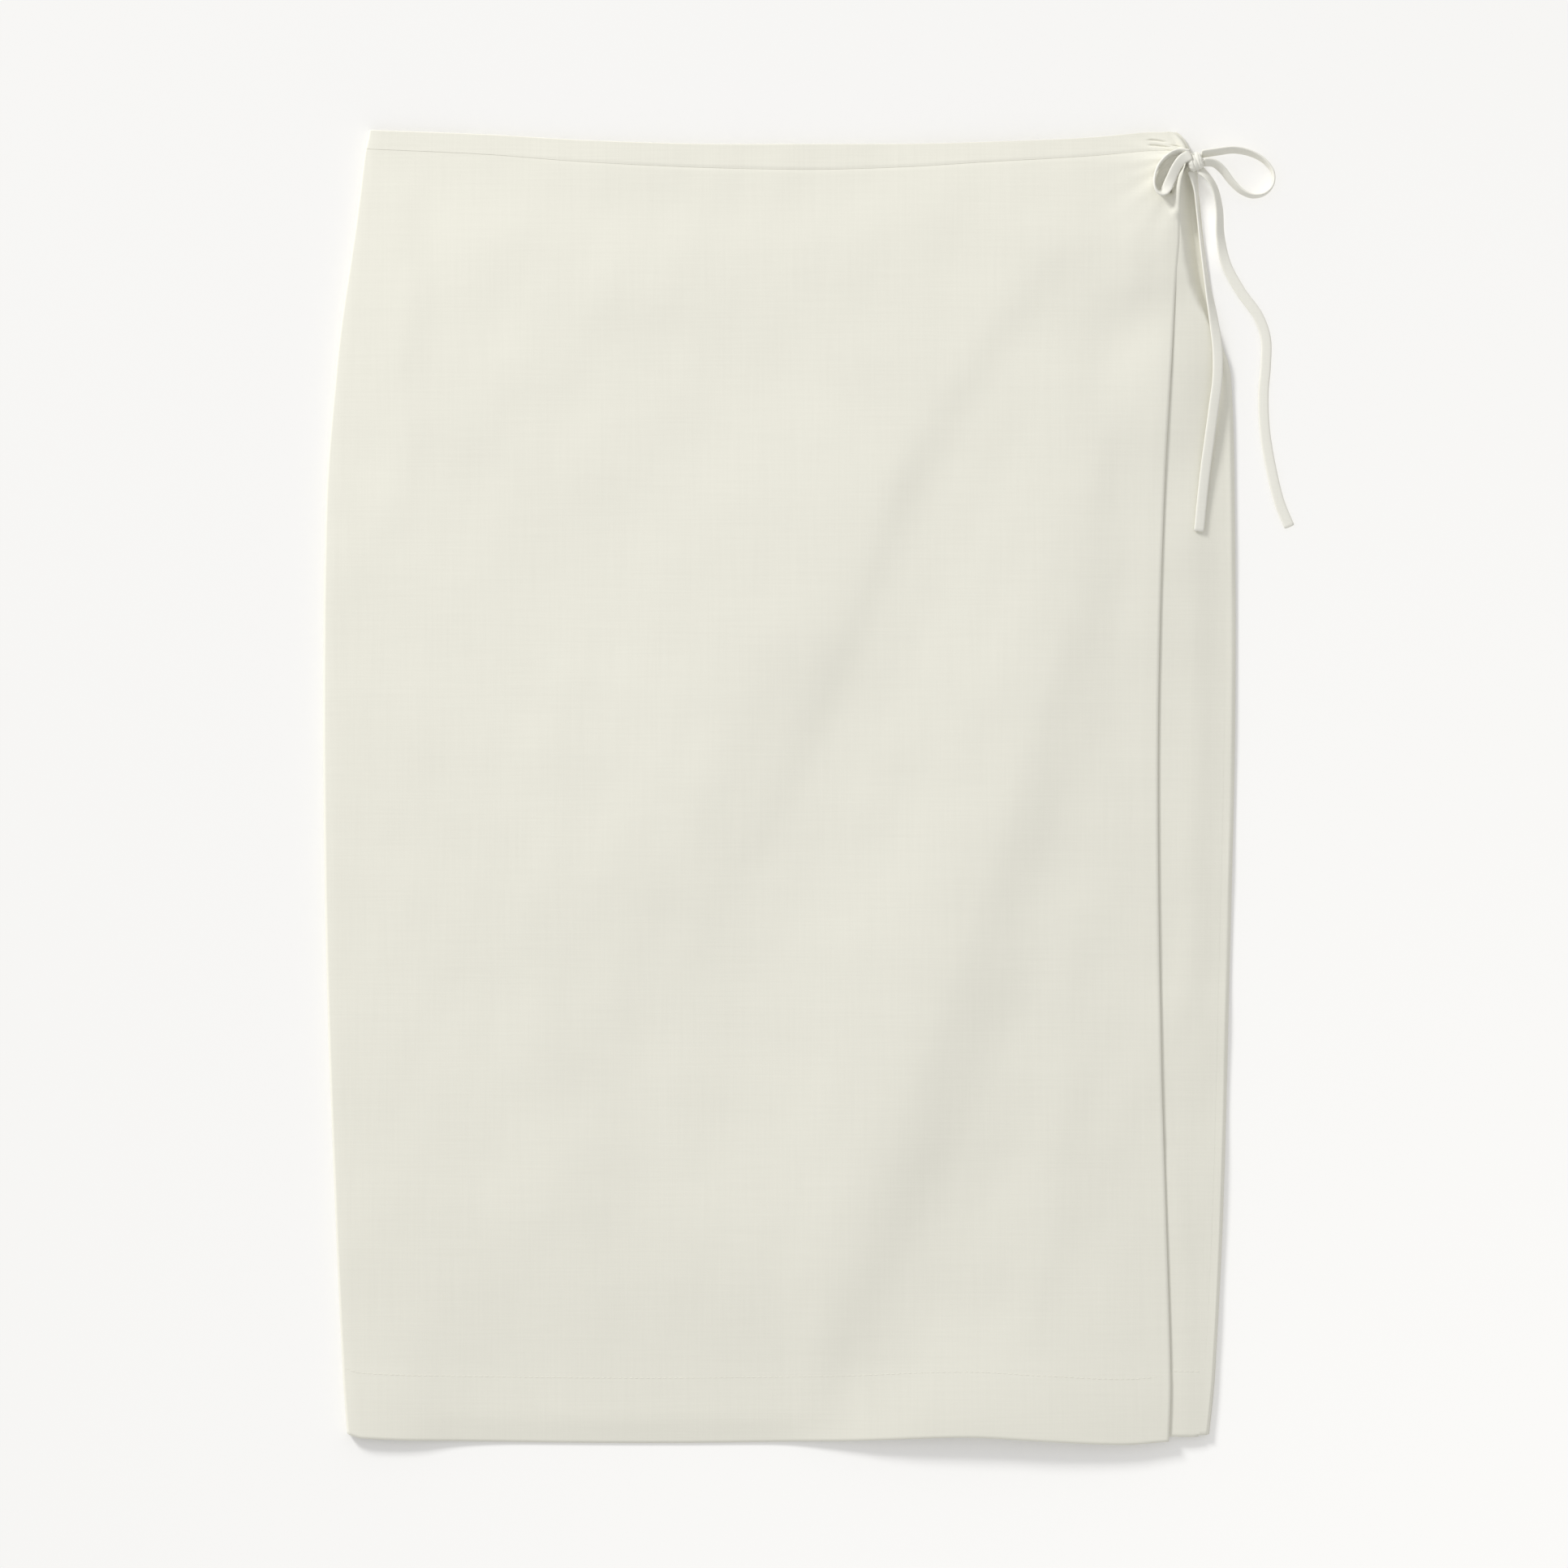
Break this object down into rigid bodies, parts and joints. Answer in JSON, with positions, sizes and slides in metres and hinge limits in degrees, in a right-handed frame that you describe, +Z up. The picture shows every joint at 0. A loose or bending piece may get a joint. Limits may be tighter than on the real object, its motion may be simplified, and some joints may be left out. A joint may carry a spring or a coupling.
{
  "type": "wrap skirt",
  "caption": "Straight knee-length wrap skirt of plain pale cloth laid flat, its over front closed by a narrow tie bow at one waist corner",
  "frame": {"origin": "bottom centre of the laid skirt's box, on the surface it lies on, without the loose straps of the bow", "axes": "+Y from the hem to the waist, +X across the skirt towards the bow, +Z up from the surface, out of the over front"},
  "size_m": [0.5241, 0.7082, 0.0153],
  "materials": {
    "cloth": "plain woven linen blend, matt, pale ecru",
    "band": "same cloth, folded double and topstitched",
    "tie": "same cloth, folded into a narrow flat strap"
  },
  "bodies": {
    "root": {"back_panel": "cloth", "under_front_panel": "cloth", "over_front_panel": "cloth", "waist_band_back": "band", "waist_band_under": "band", "waist_band_over": "band", "tie_knot": "tie", "bow_loop_right": "tie", "bow_loop_left": "tie", "tie_end_over_floor": "tie", "tie_end_over_skirt": "tie"}
  },
  "joints": []
}
